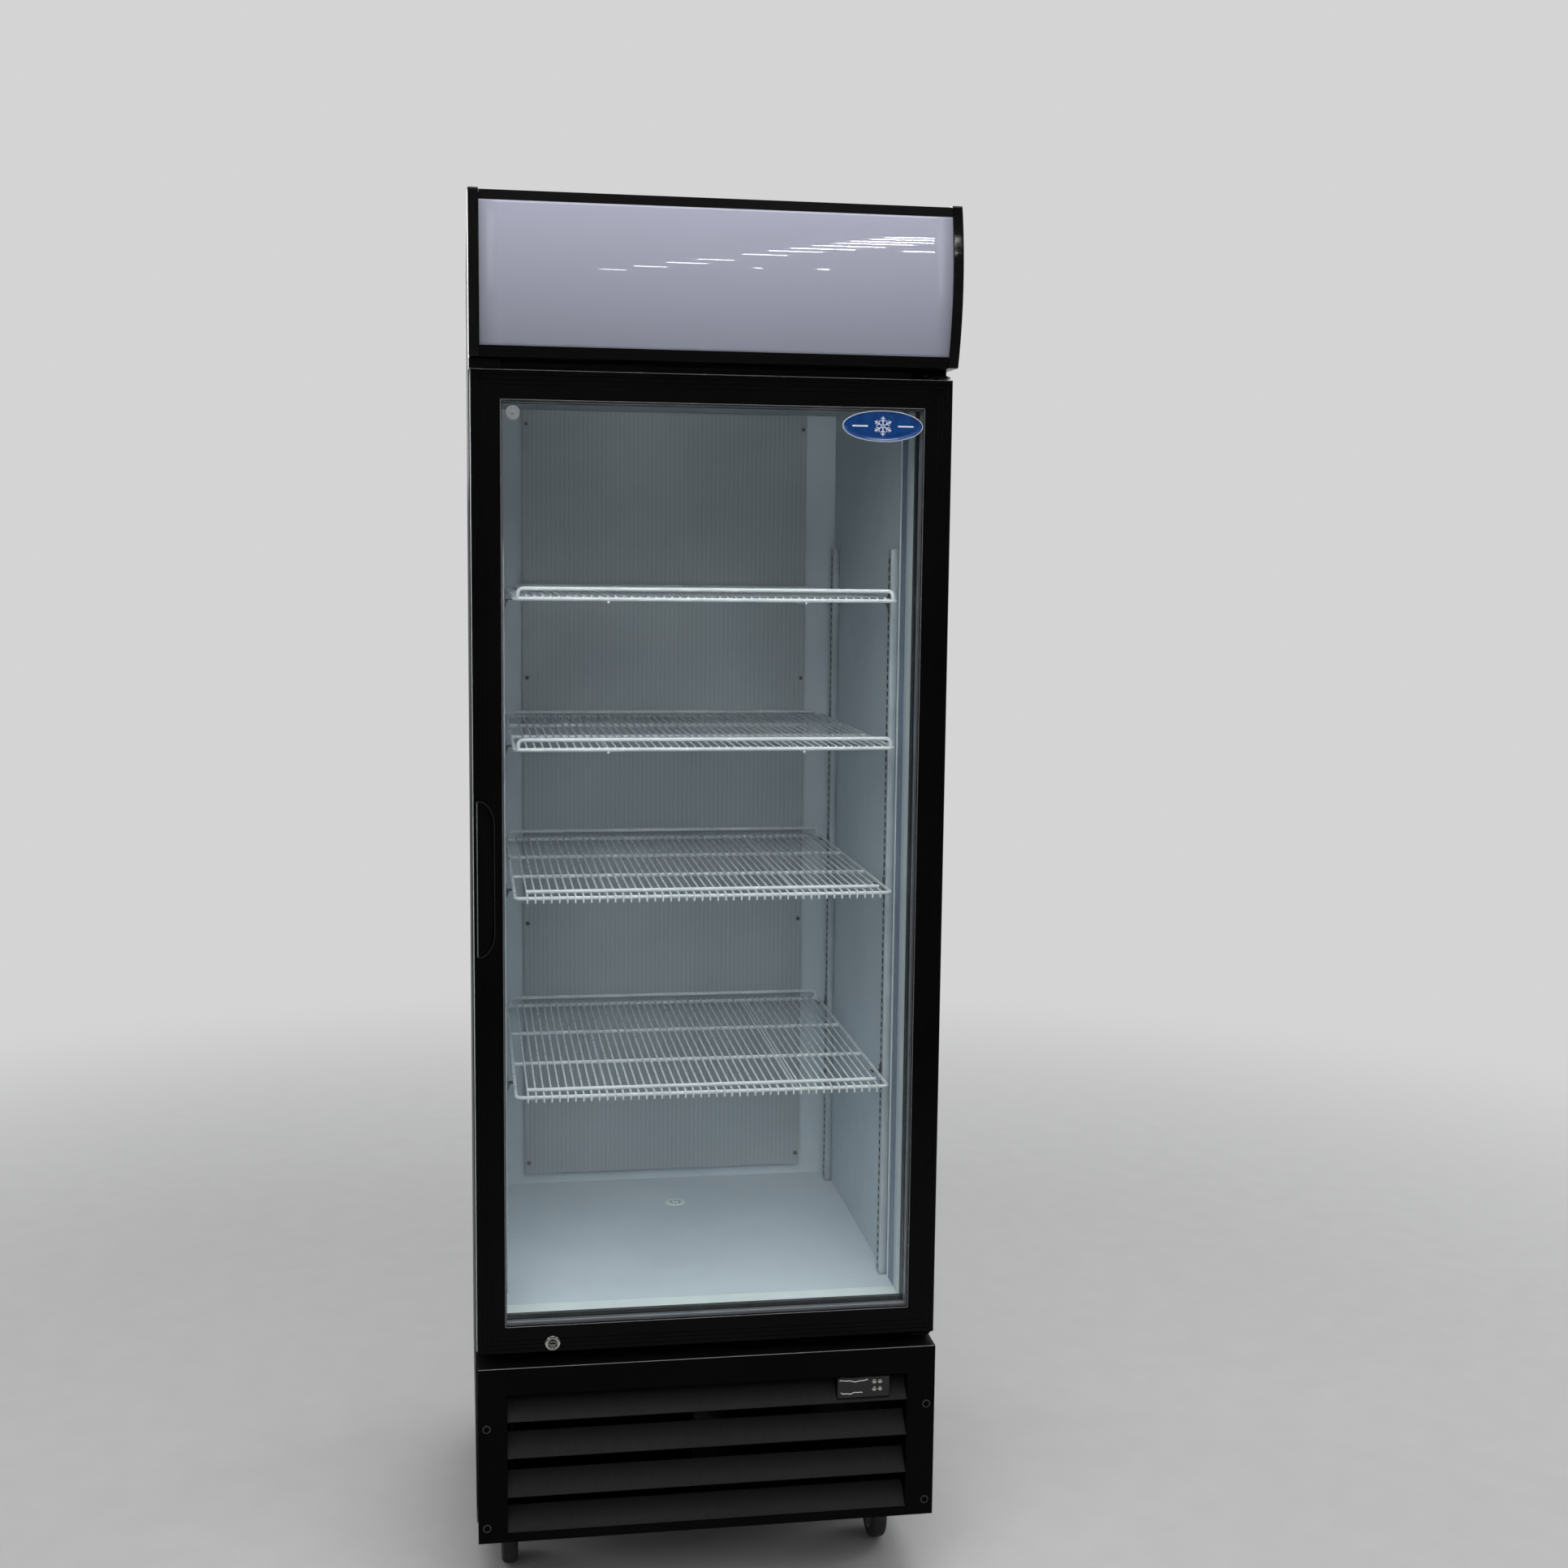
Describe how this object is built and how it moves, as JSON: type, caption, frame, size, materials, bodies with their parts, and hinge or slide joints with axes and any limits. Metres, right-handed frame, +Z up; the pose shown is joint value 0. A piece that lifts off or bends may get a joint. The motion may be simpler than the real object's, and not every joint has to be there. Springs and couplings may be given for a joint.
{
  "type": "glass door merchandiser",
  "caption": "Upright glass-door display refrigerator with wire shelves, a lit bowed header, a louvred base and swivel casters.",
  "frame": {"origin": "on the floor under the middle of the cabinet's outer box", "axes": "+Z up, -Y out of the door towards the customer, +X to the customer's right (the hinge side)"},
  "size_m": [0.686, 0.8, 2.062],
  "materials": {
    "case_black": "semi-gloss",
    "trim_black": "gloss",
    "door_black": "satin",
    "louvre_black": "matte",
    "liner_white": "satin",
    "duct_white": "satin",
    "wire_white": "satin plastic coat",
    "galvanised": "zinc coat",
    "chrome": "polished",
    "fin_aluminium": "mill",
    "rubber": "matte",
    "foam": "matte",
    "glass": "clear",
    "lens": "translucent",
    "lamp_white": "translucent",
    "badge_blue": "gloss",
    "compressor_black": "semi-gloss"
  },
  "bodies": {
    "cabinet": {"air_duct_panel": "duct_white", "base_pan": "galvanised", "breaker_frame": "liner_white", "compressor": "compressor_black", "condenser_coil": "fin_aluminium", "condenser_fan_frame": "galvanised", "controller_housing": "trim_black", "evaporator_coil": "fin_aluminium", "evaporator_cover": "duct_white", "evaporator_fan_motor": "trim_black", "front_grille": "louvre_black", "header_end_cap_left": "trim_black", "header_end_cap_right": "trim_black", "header_housing": "case_black", "header_lens": "lens", "header_light_tube": "lamp_white", "hinge_bottom": "case_black", "hinge_top": "case_black", "inner_liner": "liner_white", "insulation_foam": "foam", "interior_light": "lamp_white", "outer_case": "case_black", "pilaster_front_left": "galvanised", "pilaster_front_right": "galvanised", "pilaster_rear_left": "galvanised", "pilaster_rear_right": "galvanised", "power_inlet": "trim_black", "rear_cover": "galvanised", "rear_panel": "galvanised", "shelf_1": "wire_white", "shelf_2": "wire_white", "shelf_3": "wire_white", "shelf_4": "wire_white", "top_trim_strip": "trim_black"},
    "door": {"door_rail_top": "door_black", "door_rail_bottom": "door_black", "door_stile_handle": "door_black", "door_stile_hinge": "door_black", "glass_outer": "glass", "glass_inner": "glass", "glass_spacer": "fin_aluminium", "door_gasket": "rubber", "handle_cup": "trim_black", "badge": "badge_blue", "lock_body": "chrome"},
    "lock": {"lock_plug": "chrome"},
    "evaporator_fan": {"evaporator_fan_blade": "trim_black"},
    "condenser_fan": {"condenser_fan_blade": "trim_black"},
    "button_1": {"button_1": "chrome"},
    "button_2": {"button_2": "chrome"},
    "button_3": {"button_3": "chrome"},
    "button_4": {"button_4": "chrome"},
    "caster_front_left": {"caster_fork_front_left": "galvanised"},
    "wheel_front_left": {"caster_wheel_front_left": "rubber"},
    "caster_front_right": {"caster_fork_front_right": "galvanised"},
    "wheel_front_right": {"caster_wheel_front_right": "rubber"},
    "caster_rear_left": {"caster_fork_rear_left": "galvanised"},
    "wheel_rear_left": {"caster_wheel_rear_left": "rubber"},
    "caster_rear_right": {"caster_fork_rear_right": "galvanised"},
    "wheel_rear_right": {"caster_wheel_rear_right": "rubber"}
  },
  "joints": [
    {"name": "door_hinge", "type": "hinge", "parent": "cabinet", "child": "door", "pos_m": [0.321, -0.341, 1.11625], "axis": [0, 0, 1], "range_deg": [0, 120], "stiffness_Nm_per_rad": 1.5, "springref_deg": -20.05},
    {"name": "lock_turn", "type": "hinge", "parent": "door", "child": "lock", "pos_m": [-0.2317, -0.359, 0.4228], "axis": [0, -1, 0], "range_deg": [0, 90]},
    {"name": "button_1_press", "type": "slide", "parent": "cabinet", "child": "button_1", "axis": [0, 1, 0], "range_m": [0, 0.0005], "stiffness_N_per_m": 400, "springref_m": -0.001},
    {"name": "button_2_press", "type": "slide", "parent": "cabinet", "child": "button_2", "axis": [0, 1, 0], "range_m": [0, 0.0005], "stiffness_N_per_m": 400, "springref_m": -0.001},
    {"name": "button_3_press", "type": "slide", "parent": "cabinet", "child": "button_3", "axis": [0, 1, 0], "range_m": [0, 0.0005], "stiffness_N_per_m": 400, "springref_m": -0.001},
    {"name": "button_4_press", "type": "slide", "parent": "cabinet", "child": "button_4", "axis": [0, 1, 0], "range_m": [0, 0.0005], "stiffness_N_per_m": 400, "springref_m": -0.001},
    {"name": "evaporator_fan_spin", "type": "hinge", "parent": "cabinet", "child": "evaporator_fan", "pos_m": [0, -0.11, 1.853], "axis": [0, 0, 1], "continuous": true},
    {"name": "condenser_fan_spin", "type": "hinge", "parent": "cabinet", "child": "condenser_fan", "pos_m": [-0.15, -0.131, 0.242], "axis": [0, 1, 0], "continuous": true},
    {"name": "caster_front_left_swivel", "type": "hinge", "parent": "cabinet", "child": "caster_front_left", "pos_m": [-0.292, -0.215, 0.115], "axis": [0, 0, 1], "continuous": true},
    {"name": "wheel_front_left_roll", "type": "hinge", "parent": "caster_front_left", "child": "wheel_front_left", "pos_m": [-0.292, -0.181, 0.05], "axis": [1, 0, 0], "continuous": true},
    {"name": "caster_front_right_swivel", "type": "hinge", "parent": "cabinet", "child": "caster_front_right", "pos_m": [0.292, -0.215, 0.115], "axis": [0, 0, 1], "continuous": true},
    {"name": "wheel_front_right_roll", "type": "hinge", "parent": "caster_front_right", "child": "wheel_front_right", "pos_m": [0.292, -0.181, 0.05], "axis": [1, 0, 0], "continuous": true},
    {"name": "caster_rear_left_swivel", "type": "hinge", "parent": "cabinet", "child": "caster_rear_left", "pos_m": [-0.292, 0.3, 0.115], "axis": [0, 0, 1], "continuous": true},
    {"name": "wheel_rear_left_roll", "type": "hinge", "parent": "caster_rear_left", "child": "wheel_rear_left", "pos_m": [-0.292, 0.334, 0.05], "axis": [1, 0, 0], "continuous": true},
    {"name": "caster_rear_right_swivel", "type": "hinge", "parent": "cabinet", "child": "caster_rear_right", "pos_m": [0.292, 0.3, 0.115], "axis": [0, 0, 1], "continuous": true},
    {"name": "wheel_rear_right_roll", "type": "hinge", "parent": "caster_rear_right", "child": "wheel_rear_right", "pos_m": [0.292, 0.334, 0.05], "axis": [1, 0, 0], "continuous": true}
  ]
}
